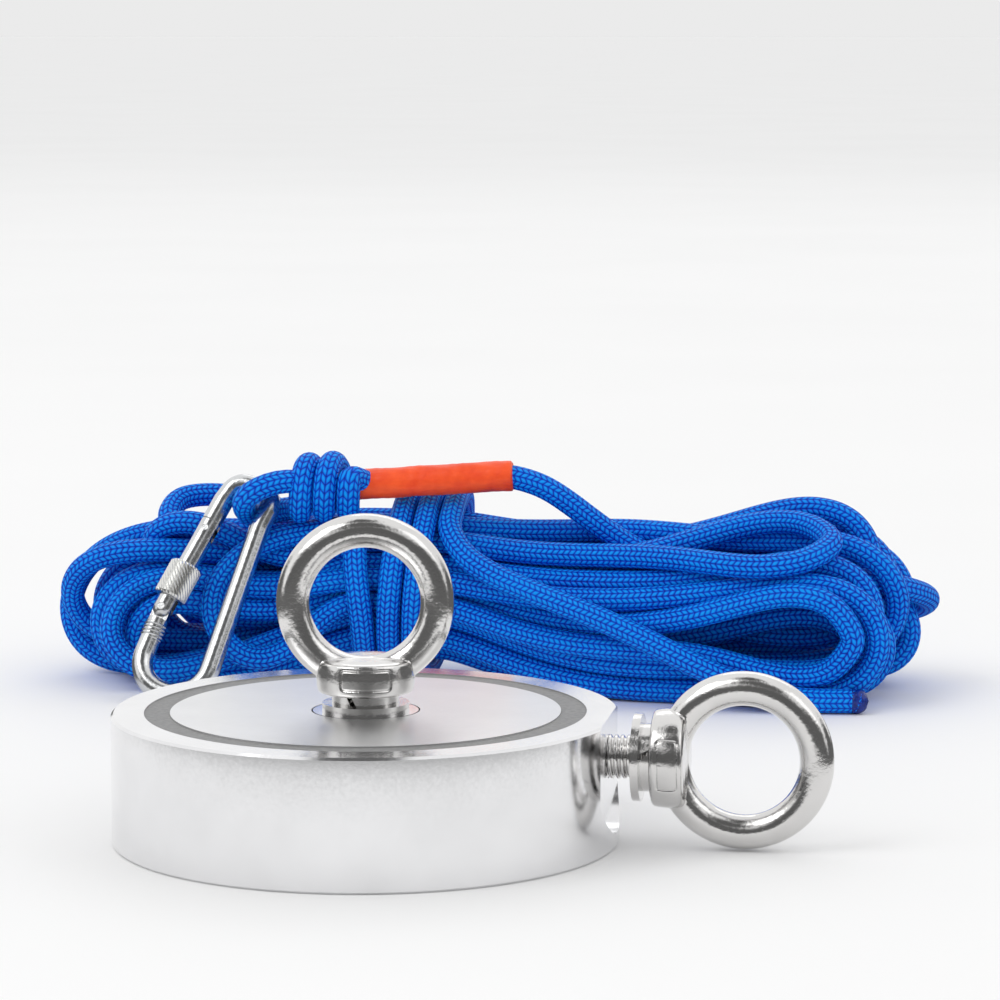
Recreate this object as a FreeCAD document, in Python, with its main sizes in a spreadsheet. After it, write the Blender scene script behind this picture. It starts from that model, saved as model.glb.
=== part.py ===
import FreeCAD, Part, Sketcher
import math
import os

# A double-sided pot magnet for magnet fishing, with one eyebolt in its top face and one in its side, and the
# braided rope, heat-shrink sleeve and screw-lock carabiner that go with it. Millimetres, +Z up. The origin is
# the centre of the magnet's lower face, +X runs along the side eyebolt and +Y points to the rope.

V = FreeCAD.Vector
X_AXIS = V(1, 0, 0)
Y_AXIS = V(0, 1, 0)
Z_AXIS = V(0, 0, 1)

DIMS = {
    # the pot: a turned steel body with a solid web between two shallow wells
    "pot_radius": 70.0,
    "pot_height": 36.0,
    "well_radius": 60.9,
    "lower_well": 11.0,
    "upper_well": 4.2,
    "pot_edge": 0.7,
    "magnet_radius": 53.8,
    "magnet_bore": 15.0,
    "bush_radius": 14.6,
    "resin_drop": 0.4,
    # M12 hardware
    "bore_radius": 6.05,
    "thread_major": 6.0,
    "thread_minor": 5.05,
    "thread_pitch": 1.75,
    "shank_length": 22.0,
    "collar_radius": 13.6,
    "collar_height": 9.4,
    "ring_centre": 24.8,
    "ring_major": 19.8,
    "ring_minor": 4.7,
    "pad_depth": 0.35,
    "pad_low": 2.1,
    "pad_high": 7.3,
    "washer_radius": 12.0,
    "washer_thickness": 2.2,
    "split_radius": 9.3,
    "split_thickness": 3.0,
    "split_gap": 1.4,
    # the flat milled in the pot's side for the side eyebolt
    "side_axis_height": 25.0,
    "spot_plane": 67.6,
    "spot_radius": 21.0,
    "side_bore_end": 49.5,
    # the two blind tapped holes in the centre bush
    "lower_tap": 16.0,
    "upper_tap": 17.4,
    "side_turns_out": 4.0,
    # the carabiner, bent from round wire
    "wire_radius": 3.5,
    "gate_length": 34.2,
    "nose_start": 34.6,
    "tongue_half": 1.25,
    "slot_half": 1.45,
    "tongue_reach": 3.0,
    "rivet_radius": 1.25,
    "rivet_half": 3.2,
    "latch_distance": 31.0,
    "pin_radius": 1.1,
    "notch_half": 1.45,
    "spring_bore": 1.3,
    "plunger_radius": 1.25,
    "sleeve_start": 4.4,
    "sleeve_length": 12.6,
    "sleeve_inner": 3.55,
    "sleeve_outer": 5.75,
    # the rope
    "rope_radius": 4.0,
    "hank_line": 250.0,
    "waist_start": -47.0,
    "waist_length": 24.0,
    "waist_inner": 26.0,
    "waist_outer": 34.0,
    "knot_radius": 13.0,
    "knot_length": 20.0,
    "shrink_inner": 4.05,
    "shrink_outer": 5.3,
    "shrink_length": 53.0,
}

# the carabiner's centreline in its own plane, from the hinge leg round to the nose: corner and bend radius
HINGE = V(-11.8, 15.5, 0)
NOSE_AIM = V(-7.8, 50.0, 0)
LEG_END = V(-11.8, 11.4, 0)
BENDS = [
    (V(-11.8, -11.8, 0), 11.4),
    (V(12.3, -11.8, 0), 11.4),
    (V(8.6, 52.5, 0), 9.0),
    (V(9.8, 66.0, 0), 6.4),
    (V(-4.8, 66.0, 0), 5.0),
]
# how the carabiner leans on the rope: its lower bend's centre, its lean from upright and its turn to one side
CLIP_PLACE = V(-102.0, 198.2, 13.9)
CLIP_LEAN = 30.0
CLIP_TURN = 16.0
# the rope's eye goes round the wire here, in the carabiner's plane
EYE_INSIDE = V(1.1, 57.6, 0)
EYE_ON_WIRE = V(7.6, 64.1, 0)

# the hank's outline: distance along X, half width, half height and centre height of each oval section
HANK_SECTIONS = [
    (-155.0, 15.0, 12.0, 24.0),
    (-150.0, 24.0, 20.0, 25.0),
    (-132.0, 30.5, 28.0, 28.7),
    (-95.0, 31.0, 29.0, 29.6),
    (-66.0, 28.0, 27.0, 31.0),
    (-50.0, 26.0, 26.0, 34.0),
    (-35.0, 26.0, 26.0, 34.0),
    (-20.0, 26.0, 26.0, 34.0),
    (4.0, 33.0, 29.0, 31.2),
    (40.0, 37.0, 30.0, 30.7),
    (105.0, 38.0, 31.0, 31.6),
    (132.0, 32.0, 27.0, 29.0),
    (142.0, 21.0, 18.0, 27.0),
    (145.0, 13.0, 11.0, 26.0),
]

KNOT_START = V(-68.0, 230.8, 68.2)
KNOT_AIM = V(17.0, 235.8, 74.2)
TAIL_END = V(38.0, 240.8, 49.0)
TAIL_BEND = 25.0

doc = FreeCAD.newDocument("MagnetFishingMagnet")
sheet = doc.addObject("Spreadsheet::Sheet", "Dims")
for row, (word, value) in enumerate(DIMS.items(), 1):
    sheet.set("A%d" % row, word)
    sheet.set("B%d" % row, str(value))
    sheet.setAlias("B%d" % row, word)
doc.recompute()

nodes = {}
bend_radii = []


def dim(word):
    return float(sheet.get(word))


def bind(item, **sizes):
    for prop, formula in sizes.items():
        item.setExpression(prop, formula)
    return item


def keep(name, item, placement=None):
    """Names a finished sub-part and puts it in its place."""
    item.Label = name
    if placement is not None:
        item.Placement = placement
    nodes[name] = item
    return item


def new_body(name):
    return doc.addObject("PartDesign::Body", name + "_solid")


def plane_sketch(body, name, plane, offset=None):
    """A sketch on one of the body's own origin planes, moved off it by offset."""
    planes = {item.Role: item for item in body.Origin.OriginFeatures}
    sketch = body.newObject("Sketcher::SketchObject", name)
    sketch.AttachmentSupport = [(planes[plane], "")]
    sketch.MapMode = "FlatFace"
    if offset is not None:
        sketch.AttachmentOffset = FreeCAD.Placement(offset, FreeCAD.Rotation())
    return sketch


def circles_sketch(body, name, plane, radii, offset=None):
    """Concentric circles, each radius bound to a cell of the sheet."""
    sketch = plane_sketch(body, name, plane, offset)
    for number, word in enumerate(radii):
        sketch.addGeometry(Part.Circle(V(0, 0, 0), Z_AXIS, dim(word)), False)
        sketch.addConstraint(Sketcher.Constraint("Coincident", number, 3, -1, 1))
        radius = sketch.addConstraint(Sketcher.Constraint("Radius", number, dim(word)))
        sketch.setExpression("Constraints[%d]" % radius, "Dims." + word)
    return sketch


def outline_sketch(body, name, plane, corners):
    """A closed outline of straight lines through the corners."""
    sketch = plane_sketch(body, name, plane)
    for start, end in zip(corners, corners[1:] + corners[:1]):
        sketch.addGeometry(Part.LineSegment(V(*start, 0), V(*end, 0)), False)
    return sketch


def pad(body, sketch, length):
    feature = body.newObject("PartDesign::Pad", sketch.Name + "_pad")
    feature.Profile = sketch
    feature.setExpression("Length", length)
    doc.recompute()
    return feature


def cut(body, kind, sketch, **settings):
    """A Pocket or Groove that is sure to have removed some of the body."""
    before = body.Shape.Volume
    feature = body.newObject("PartDesign::" + kind, sketch.Name + "_cut")
    feature.Profile = sketch
    for prop, value in settings.items():
        if isinstance(value, str) and value.startswith("="):
            feature.setExpression(prop, value[1:])
        else:
            setattr(feature, prop, value)
    doc.recompute()
    if body.Shape.Volume > before - 0.01:
        raise RuntimeError(sketch.Name + " cut nothing")
    return feature


def bent_wire(points, radii):
    """Straight runs joined by tangent arcs, one radius for each corner between the first and last point."""
    edges = []
    start = points[0]
    for corner, after, radius in zip(points[1:-1], points[2:], radii):
        back = (start - corner).normalize()
        on = (after - corner).normalize()
        half = 0.5 * back.getAngle(on)
        reach = radius / math.tan(half)
        enter = corner + back * reach
        leave = corner + on * reach
        middle = (back + on).normalize()
        apex = corner + middle * (radius / math.sin(half) - radius)
        if (enter - start).Length > 1e-6:
            edges.append(Part.LineSegment(start, enter).toShape())
        edges.append(Part.Arc(enter, apex, leave).toShape())
        start = leave
    edges.append(Part.LineSegment(start, points[-1]).toShape())
    return Part.Wire(edges)


def tube_along(wire, radius):
    first = wire.Edges[0]
    start = first.valueAt(first.FirstParameter)
    along = first.tangentAt(first.FirstParameter)
    ring = Part.Wire([Part.Circle(start, along, radius).toShape()])
    return wire.makePipeShell([ring], True, False)


def cord_bends(points):
    """The bend radius each corner of a cord's route can have, from its shorter neighbouring run."""
    radii = []
    for before, corner, after in zip(points, points[1:], points[2:]):
        run = min((before - corner).Length, (after - corner).Length)
        turn = math.pi - (before - corner).getAngle(after - corner)
        radii.append(0.45 * run / math.tan(turn / 2))
    bend_radii.extend(radii)
    return radii


def cylinder(name, radius, height, base, along):
    """A Part cylinder with its radius and height bound to the sheet."""
    item = doc.addObject("Part::Cylinder", name)
    bind(item, Radius=radius, Height=height)
    item.Placement = FreeCAD.Placement(base, FreeCAD.Rotation(Z_AXIS, along))
    return item


def box(name, low, high):
    item = doc.addObject("Part::Box", name)
    item.Length = high[0] - low[0]
    item.Width = high[1] - low[1]
    item.Height = high[2] - low[2]
    item.Placement = FreeCAD.Placement(V(*low), FreeCAD.Rotation())
    return item


def joined(kind, name, *items):
    """Part::Cut of two items, or Part::MultiFuse of any number."""
    result = doc.addObject(kind, name)
    if kind == "Part::Cut":
        result.Base, result.Tool = items
    else:
        result.Shapes = list(items)
    doc.recompute()
    return result


# ---------------------------------------------------------------- the pot

def build_steel_body():
    body = new_body("steel_body")
    wall = pad(body, circles_sketch(body, "outer_wall", "XY_Plane", ["pot_radius"]), "Dims.pot_height")
    rims = [
        "Edge%d" % number
        for number, edge in enumerate(wall.Shape.Edges, 1)
        if isinstance(edge.Curve, Part.Circle)
    ]
    chamfer = body.newObject("PartDesign::Chamfer", "rim_edges")
    chamfer.Base = (wall, rims)
    chamfer.setExpression("Size", "Dims.pot_edge")
    doc.recompute()
    lower = circles_sketch(body, "lower_well_outline", "XY_Plane", ["well_radius"])
    cut(body, "Pocket", lower, Length="=Dims.lower_well", Reversed=True)
    top = V(0, 0, dim("pot_height"))
    upper = circles_sketch(body, "upper_well_outline", "XY_Plane", ["well_radius"], top)
    cut(body, "Pocket", upper, Length="=Dims.upper_well")
    hub = circles_sketch(body, "hub_outline", "XY_Plane", ["bush_radius"], top)
    cut(body, "Pocket", hub, Length="=Dims.pot_height")
    # the YZ plane's own axes are Y and Z, and its normal is +X
    height = dim("side_axis_height")
    flat = circles_sketch(body, "side_flat", "YZ_Plane", ["spot_radius"], V(0, height, dim("spot_plane")))
    cut(body, "Pocket", flat, Length=10.0, Reversed=True)
    bore = circles_sketch(body, "side_bore", "YZ_Plane", ["bore_radius"], V(0, height, dim("spot_plane")))
    cut(body, "Pocket", bore, Length="=Dims.spot_plane - Dims.side_bore_end")
    keep("steel_body", body)


def build_bush():
    body = new_body("centre_bush")
    pad(body, circles_sketch(body, "bush_wall", "XY_Plane", ["bush_radius"]), "Dims.pot_height")
    lower = circles_sketch(body, "lower_tap_hole", "XY_Plane", ["bore_radius"])
    cut(body, "Pocket", lower, Length="=Dims.lower_tap", Reversed=True)
    upper = circles_sketch(body, "upper_tap_hole", "XY_Plane", ["bore_radius"], V(0, 0, dim("pot_height")))
    cut(body, "Pocket", upper, Length="=Dims.upper_tap")
    keep("centre_bush", body)


def build_ring(name, outer, inner, bottom, height):
    body = new_body(name)
    pad(body, circles_sketch(body, name + "_wall", "XY_Plane", [outer, inner]), height)
    keep(name, body, FreeCAD.Placement(V(0, 0, bottom), FreeCAD.Rotation()))


def build_pot():
    build_steel_body()
    build_bush()
    upper_floor = dim("pot_height") - dim("upper_well")
    build_ring("lower_magnet", "magnet_radius", "magnet_bore", 0.0, "Dims.lower_well")
    build_ring("upper_magnet", "magnet_radius", "magnet_bore", upper_floor, "Dims.upper_well")
    drop = dim("resin_drop")
    lower = "Dims.lower_well - Dims.resin_drop"
    upper = "Dims.upper_well - Dims.resin_drop"
    build_ring("lower_epoxy_ring", "well_radius", "magnet_radius", drop, lower)
    build_ring("upper_epoxy_ring", "well_radius", "magnet_radius", upper_floor, upper)


# ---------------------------------------------------------------- eyebolts and washers

def eyebolt_outline():
    """Half section of shank, thread ridges and collar: radius and height, from the tip up. Height 0 is the seat."""
    major = dim("thread_major")
    minor = dim("thread_minor")
    pitch = dim("thread_pitch")
    collar = dim("collar_radius")
    top = dim("collar_height")
    low = -dim("shank_length")
    corners = [(0.0, low), (minor - 0.4, low)]
    height = low + 1.0
    while height + pitch < -2.4:
        corners.append((minor, height))
        corners.append((major, height + 0.45 * pitch))
        corners.append((major, height + 0.55 * pitch))
        height += pitch
    corners += [(minor, height), (minor, 0.0), (collar - 1.2, 0.0), (collar - 0.3, 0.5), (collar, 1.6)]
    corners += [(collar, top - 2.0), (collar - 0.5, top - 0.6), (collar - 1.6, top), (0.0, top + 0.3)]
    return corners


def build_eyebolt(name, placement):
    """Shank along -Z, collar seated at the origin and the ring standing in the XZ plane."""
    body = new_body(name)
    half = outline_sketch(body, name + "_section", "XZ_Plane", eyebolt_outline())
    turned = body.newObject("PartDesign::Revolution", name + "_turned")
    turned.Profile = half
    turned.ReferenceAxis = (half, ["V_Axis"])
    turned.Angle = 360
    doc.recompute()
    ring = body.newObject("PartDesign::AdditiveTorus", name + "_ring")
    planes = {item.Role: item for item in body.Origin.OriginFeatures}
    ring.AttachmentSupport = [(planes["XZ_Plane"], "")]
    ring.MapMode = "FlatFace"
    ring.AttachmentOffset = FreeCAD.Placement(V(0, dim("ring_centre"), 0), FreeCAD.Rotation())
    bind(ring, Radius1="Dims.ring_major", Radius2="Dims.ring_minor")
    doc.recompute()
    # a shallow blank pad sunk in the collar's front, where the size is stamped on a real one
    inner = dim("collar_radius") - dim("pad_depth")
    outer = dim("collar_radius") + 2.0
    low = dim("pad_low")
    high = dim("pad_high")
    corners = [(-inner, low), (-outer, low), (-outer, high), (-inner, high)]
    pad_sketch = outline_sketch(body, name + "_pad_section", "YZ_Plane", corners)
    axis = (pad_sketch, ["V_Axis"])
    cut(body, "Groove", pad_sketch, ReferenceAxis=axis, Angle=61.0, Midplane=True)
    keep(name, body, placement)


def build_washers(name, placement):
    """The flat washer's underside is the origin, and the split washer lies on it."""
    half = dim("split_thickness") / 2
    flat_outer = cylinder(name + "_flat_disc", "Dims.washer_radius", "Dims.washer_thickness", V(), Z_AXIS)
    flat_hole = cylinder(name + "_flat_hole", "Dims.bore_radius + 0.35", "Dims.washer_thickness", V(), Z_AXIS)
    flat = joined("Part::Cut", name + "_flat", flat_outer, flat_hole)
    keep(name + "_flat_washer", flat, placement)
    base = V(0, 0, dim("washer_thickness"))
    outer = cylinder(name + "_split_disc", "Dims.split_radius", "Dims.split_thickness", base, Z_AXIS)
    hole = cylinder(name + "_split_hole", "Dims.bore_radius + 0.1", "Dims.split_thickness", base, Z_AXIS)
    ring = joined("Part::Cut", name + "_split_ring", outer, hole)
    # the slanted split, on the front left of the ring
    gap = doc.addObject("Part::Box", name + "_split_gap")
    bind(gap, Length="Dims.split_gap", Width="Dims.split_radius", Height="Dims.split_thickness * 3")
    lean = FreeCAD.Rotation(Y_AXIS, 28)
    round_to = FreeCAD.Rotation(Z_AXIS, 165)
    middle = V(-dim("split_gap") / 2, 3.0, -1.5 * dim("split_thickness"))
    spot = FreeCAD.Placement(base + V(0, 0, half), round_to)
    gap.Placement = spot.multiply(FreeCAD.Placement(V(), lean)).multiply(FreeCAD.Placement(middle, FreeCAD.Rotation()))
    keep(name + "_split_washer", joined("Part::Cut", name + "_split", ring, gap), placement)


def build_hardware():
    stack = dim("washer_thickness") + dim("split_thickness")
    top = dim("pot_height")
    build_washers("top", FreeCAD.Placement(V(0, 0, top), FreeCAD.Rotation()))
    build_eyebolt("top_eyebolt", FreeCAD.Placement(V(0, 0, top + stack), FreeCAD.Rotation(Z_AXIS, 11)))
    # a quarter turn about Y lays the bolt along +X and keeps its ring upright
    lay_down = FreeCAD.Rotation(Y_AXIS, 90)
    out = dim("spot_plane") + dim("side_turns_out") * dim("thread_pitch")
    height = dim("side_axis_height")
    build_washers("side", FreeCAD.Placement(V(out, 0, height), lay_down))
    build_eyebolt("side_eyebolt", FreeCAD.Placement(V(out + stack, 0, height), lay_down))


# ---------------------------------------------------------------- carabiner

def clip_placement():
    """Carabiner plane (x across, y towards the rope, z to the front) into the row's frame."""
    lean = math.radians(CLIP_LEAN)
    turn = math.radians(CLIP_TURN)
    up = V(0, math.sin(lean), math.cos(lean))
    along = up * math.cos(turn) + X_AXIS * math.sin(turn)
    across = X_AXIS * math.cos(turn) - up * math.sin(turn)
    return FreeCAD.Placement(CLIP_PLACE, FreeCAD.Rotation(across, along, across.cross(along), "XYZ"))


def gate_placement():
    """The gate's own frame: origin on the hinge, y along the gate, z to the front."""
    along = (NOSE_AIM - HINGE).normalize()
    tilt = FreeCAD.Rotation(Y_AXIS, along)
    return clip_placement().multiply(FreeCAD.Placement(HINGE, tilt))


def build_carabiner_body():
    along = (NOSE_AIM - HINGE).normalize()
    nose = HINGE + along * dim("nose_start")
    knee = HINGE + along * 43.0
    points = [LEG_END] + [corner for corner, radius in BENDS] + [knee, nose]
    radii = [radius for corner, radius in BENDS] + [9.0]
    wire = doc.addObject("Part::Feature", "bent_wire")
    wire.Shape = tube_along(bent_wire(points, radii), dim("wire_radius"))
    half = dim("tongue_half")
    reach = dim("tongue_reach")
    # the hinge tongue: a flat with a round end about the rivet
    flat = box("hinge_flat", (HINGE.x - reach, LEG_END.y - 1.0, -half), (HINGE.x + reach, HINGE.y, half))
    end = cylinder("hinge_round", "Dims.tongue_reach", "2 * Dims.tongue_half", HINGE - Z_AXIS * half, Z_AXIS)
    eye = cylinder("hinge_eye", "Dims.rivet_radius + 0.05", "20", HINGE - Z_AXIS * 10, Z_AXIS)
    hinge = joined("Part::Cut", "hinge_tongue", joined("Part::MultiFuse", "hinge_blank", flat, end), eye)
    # the nose tongue, with a notch open to the inside for the latch pin, in the gate's frame
    gate_frame = FreeCAD.Placement(HINGE, FreeCAD.Rotation(Y_AXIS, along))
    latch = dim("latch_distance")
    notch = dim("notch_half")
    hook = box("hook_blank", (-2.9, latch - 2.8, -half), (2.9, dim("nose_start") + 1.5, half))
    mouth = box("notch_mouth", (0, latch - notch, -5), (6, latch + notch, 5))
    seat = cylinder("notch_seat", "Dims.notch_half", "10", V(0, latch, -5), Z_AXIS)
    hook = joined("Part::Cut", "hook", hook, joined("Part::MultiFuse", "notch", mouth, seat))
    hook.Placement = gate_frame
    body = joined("Part::MultiFuse", "carabiner_solid", wire, hinge, hook)
    keep("carabiner_body", body, clip_placement())


def build_gate():
    length = dim("gate_length")
    slot = dim("slot_half")
    latch = dim("latch_distance")
    rod = cylinder("gate_rod", "Dims.wire_radius", "Dims.gate_length", V(), Y_AXIS)
    ball = doc.addObject("Part::Sphere", "gate_heel")
    bind(ball, Radius="Dims.wire_radius")
    blank = joined("Part::MultiFuse", "gate_blank", rod, ball)
    cuts = [
        box("heel_slot", (-5, -5, -slot), (5, 4.2, slot)),
        box("latch_slot", (-5, latch - 3.5, -slot), (5, length + 1, slot)),
        cylinder("gate_rivet_hole", "Dims.rivet_radius", "10", V(0, 0, -5), Z_AXIS),
        cylinder("gate_pin_hole", "Dims.pin_radius", "10", V(0, latch, -5), Z_AXIS),
        cylinder("gate_spring_hole", "Dims.spring_bore", "12", V(0, 3.5, 0), Y_AXIS),
    ]
    gate = joined("Part::Cut", "gate_solid", blank, joined("Part::MultiFuse", "gate_cuts", *cuts))
    keep("carabiner_gate", gate, gate_placement())


def build_gate_pieces():
    place = gate_placement()
    rivet = cylinder("rivet_pin", "Dims.rivet_radius", "2 * Dims.rivet_half", V(), Z_AXIS)
    keep("gate_rivet", rivet, place.multiply(FreeCAD.Placement(V(0, 0, -dim("rivet_half")), FreeCAD.Rotation())))
    latch = cylinder("latch_rod", "Dims.pin_radius", "2 * Dims.rivet_half", V(), Z_AXIS)
    spot = V(0, dim("latch_distance"), -dim("rivet_half"))
    keep("latch_pin", latch, place.multiply(FreeCAD.Placement(spot, FreeCAD.Rotation())))
    along = FreeCAD.Rotation(Z_AXIS, Y_AXIS)
    plunger = cylinder("plunger_rod", "Dims.plunger_radius", "4.8", V(), Z_AXIS)
    keep("gate_plunger", plunger, place.multiply(FreeCAD.Placement(V(0, 3.1, 0), along)))
    coil = doc.addObject("Part::Feature", "spring_coil")
    coil.Shape = tube_along(Part.makeHelix(0.85, 6.8, 0.95), 0.24)
    keep("gate_spring", coil, place.multiply(FreeCAD.Placement(V(0, 8.3, 0), along)))
    outer = cylinder("sleeve_wall", "Dims.sleeve_outer", "Dims.sleeve_length", V(), Z_AXIS)
    hole = cylinder("sleeve_hole", "Dims.sleeve_inner", "Dims.sleeve_length", V(), Z_AXIS)
    doc.recompute()
    chamfer = doc.addObject("Part::Chamfer", "sleeve_edges")
    chamfer.Base = outer
    rims = [number for number, edge in enumerate(outer.Shape.Edges, 1) if isinstance(edge.Curve, Part.Circle)]
    chamfer.Edges = [(number, 0.7, 0.7) for number in rims]
    sleeve = joined("Part::Cut", "sleeve_solid", chamfer, hole)
    start = V(0, dim("sleeve_start"), 0)
    keep("screw_sleeve", sleeve, place.multiply(FreeCAD.Placement(start, along)))


# ---------------------------------------------------------------- rope

def build_hank():
    ovals = []
    line = dim("hank_line")
    for number, (distance, half_width, half_height, centre) in enumerate(HANK_SECTIONS):
        oval = doc.addObject("Part::Ellipse", "hank_oval_%d" % number)
        wide = half_width >= half_height
        oval.MajorRadius = max(half_width, half_height)
        oval.MinorRadius = min(half_width, half_height)
        across = Y_AXIS if wide else Z_AXIS
        turned = FreeCAD.Rotation(across, V(), X_AXIS, "ZXY")
        oval.Placement = FreeCAD.Placement(V(distance, line, centre), turned)
        ovals.append(oval)
    hank = doc.addObject("Part::Loft", "hank_solid")
    hank.Sections = ovals
    hank.Solid = True
    doc.recompute()
    keep("rope_hank", hank)


def build_waist():
    centre = V(dim("waist_start"), dim("hank_line"), dim("waist_outer"))
    outer = cylinder("waist_wall", "Dims.waist_outer", "Dims.waist_length", centre, X_AXIS)
    inner = cylinder("waist_hole", "Dims.waist_inner", "Dims.waist_length", centre, X_AXIS)
    keep("waist_wraps", joined("Part::Cut", "waist_solid", outer, inner))


def knot_line():
    return (KNOT_AIM - KNOT_START).normalize()


def build_knot():
    barrel = cylinder("knot_barrel", "Dims.knot_radius", "Dims.knot_length", KNOT_START, knot_line())
    doc.recompute()
    rounded = doc.addObject("Part::Fillet", "knot_round")
    rounded.Base = barrel
    rims = [number for number, edge in enumerate(barrel.Shape.Edges, 1) if isinstance(edge.Curve, Part.Circle)]
    rounded.Edges = [(number, 4.5, 4.5) for number in rims]
    doc.recompute()
    keep("eye_knot", rounded)


def build_eye():
    """The rope's tight loop round the carabiner's wire, with both legs going into the knot."""
    clip = clip_placement()
    wire_point = clip.multVec(EYE_ON_WIRE)
    outward = (wire_point - clip.multVec(EYE_INSIDE)).normalize()
    front = clip.Rotation.multVec(Z_AXIS)
    radius = (EYE_ON_WIRE - EYE_INSIDE).Length
    side = knot_line().cross(front).normalize().cross(knot_line())
    target = KNOT_START + knot_line() * 6.0
    points = [
        target + side * 4.2,
        wire_point + front * radius + outward * 5.0,
        wire_point + front * radius - outward * radius,
        wire_point - front * radius - outward * radius,
        wire_point - front * radius + outward * 5.0,
        target - side * 4.2,
    ]
    radii = cord_bends(points)
    radii[1] = radius - 0.05
    radii[2] = radius - 0.05
    eye = doc.addObject("Part::Feature", "eye_tube")
    eye.Shape = tube_along(bent_wire(points, radii), dim("rope_radius"))
    keep("rope_eye", eye)


def build_tail():
    start = KNOT_START + knot_line() * (dim("knot_length") - 1.0)
    bend_radii.append(TAIL_BEND)
    tail = doc.addObject("Part::Feature", "tail_tube")
    tail.Shape = tube_along(bent_wire([start, KNOT_AIM, TAIL_END], [TAIL_BEND]), dim("rope_radius"))
    keep("rope_tail", tail)
    sleeve_start = KNOT_START + knot_line() * (dim("knot_length") + 0.3)
    outer = cylinder("shrink_wall", "Dims.shrink_outer", "Dims.shrink_length", sleeve_start, knot_line())
    inner = cylinder("shrink_hole", "Dims.shrink_inner", "Dims.shrink_length", sleeve_start, knot_line())
    keep("shrink_sleeve", joined("Part::Cut", "shrink_solid", outer, inner))


def check_and_export():
    doc.recompute()
    for item in doc.Objects:
        if "Invalid" in item.State or "Error" in item.State:
            raise RuntimeError(item.Name + " failed to build")
    os.makedirs("parts", exist_ok=True)
    for name, item in nodes.items():
        shape = item.Shape
        if shape.isNull() or not shape.isValid() or len(shape.Solids) < 1:
            raise RuntimeError(name + " is not a valid solid")
        shape.exportStep("parts/%s.step" % name)
        size = shape.BoundBox
        print("%-18s solids %d  volume %9.1f  x %.1f..%.1f  y %.1f..%.1f  z %.2f..%.2f" % (
            name, len(shape.Solids), shape.Volume,
            size.XMin, size.XMax, size.YMin, size.YMax, size.ZMin, size.ZMax))
    print("cord bend radii:", ", ".join("%.1f" % radius for radius in bend_radii))


build_pot()
build_hardware()
build_carabiner_body()
build_gate()
build_gate_pieces()
build_hank()
build_waist()
build_knot()
build_eye()
build_tail()
check_and_export()
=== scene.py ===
import bpy
import math
import random
import numpy as np
from mathutils import Matrix, Vector


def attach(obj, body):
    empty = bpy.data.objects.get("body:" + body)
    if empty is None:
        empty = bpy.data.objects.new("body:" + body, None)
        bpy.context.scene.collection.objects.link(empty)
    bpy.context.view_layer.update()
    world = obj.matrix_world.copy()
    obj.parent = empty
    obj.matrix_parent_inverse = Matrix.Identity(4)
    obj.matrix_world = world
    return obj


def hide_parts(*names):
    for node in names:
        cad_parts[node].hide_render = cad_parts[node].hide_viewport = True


# The looks of the double-sided fishing magnet: its pot, its two eyebolts, its screw-lock carabiner and its
# 10 m braided rope, wound into a hank. Lengths of shapes are millimetres, and MM turns them into metres.
# Lengths in materials, lights and the camera are metres.

MM = 0.001
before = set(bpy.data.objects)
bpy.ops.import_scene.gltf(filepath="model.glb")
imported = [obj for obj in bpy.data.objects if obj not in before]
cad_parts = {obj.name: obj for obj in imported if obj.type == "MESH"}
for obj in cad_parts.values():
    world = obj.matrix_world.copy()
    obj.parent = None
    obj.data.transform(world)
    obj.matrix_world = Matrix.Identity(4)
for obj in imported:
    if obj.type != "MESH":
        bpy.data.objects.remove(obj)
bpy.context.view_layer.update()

# ---------------------------------------------------------------- materials

# columns of stitches round the rope, and stitches along one circumference of it
BRAID_COLUMNS = 14.0
BRAID_STITCHES = 13.0
# how far a stitch leans across its column, in stitches, and how blunt its crown is
BRAID_SLANT = 0.6
BRAID_ROUNDING = 0.7
# the rope's blues, from painted shade between the stitches through its own blue to a painted highlight on the
# stitches' crowns
BRAID_PAINTED_SHADE_AND_HIGHLIGHT = [
    (0.25, (0.0, 0.01, 0.24)),
    (0.52, (0.0, 0.09, 0.78)),
    (0.92, (0.0, 0.34, 1.0)),
]


def new_material(name):
    material = bpy.data.materials.new(name)
    material.use_nodes = True
    tree = material.node_tree
    return material, tree, tree.nodes["Principled BSDF"]


def node(tree, kind, **inputs):
    made = tree.nodes.new(kind)
    for key, value in inputs.items():
        made.inputs[key].default_value = value
    return made


def math_node(tree, operation, first, second=None):
    made = tree.nodes.new("ShaderNodeMath")
    made.operation = operation
    for slot, value in enumerate((first, second)):
        if value is None:
            continue
        if hasattr(value, "default_value"):
            tree.links.new(value, made.inputs[slot])
        else:
            made.inputs[slot].default_value = value
    return made.outputs[0]


def ramp(tree, source, stops):
    made = tree.nodes.new("ShaderNodeValToRGB")
    tree.links.new(source, made.inputs["Fac"])
    elements = made.color_ramp.elements
    while len(elements) < len(stops):
        elements.new(0.5)
    for element, (place, colour) in zip(elements, stops):
        element.position = place
        element.color = (*colour, 1.0)
    return made.outputs["Color"]


def grey(value):
    return (value, value, value)


def noise(tree, scale, detail=4.0, roughness=0.55, stretch=None):
    where = tree.nodes.new("ShaderNodeTexCoord")
    mapping = tree.nodes.new("ShaderNodeMapping")
    mapping.inputs["Scale"].default_value = stretch or (1.0, 1.0, 1.0)
    tree.links.new(where.outputs["Object"], mapping.inputs["Vector"])
    made = node(tree, "ShaderNodeTexNoise", Scale=scale, Detail=detail, Roughness=roughness)
    tree.links.new(mapping.outputs["Vector"], made.inputs["Vector"])
    return made.outputs["Fac"]


def add_bump(tree, shader, height, strength, distance):
    bump = node(tree, "ShaderNodeBump", Strength=strength, Distance=distance)
    tree.links.new(height, bump.inputs["Height"])
    tree.links.new(bump.outputs["Normal"], shader.inputs["Normal"])


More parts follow.
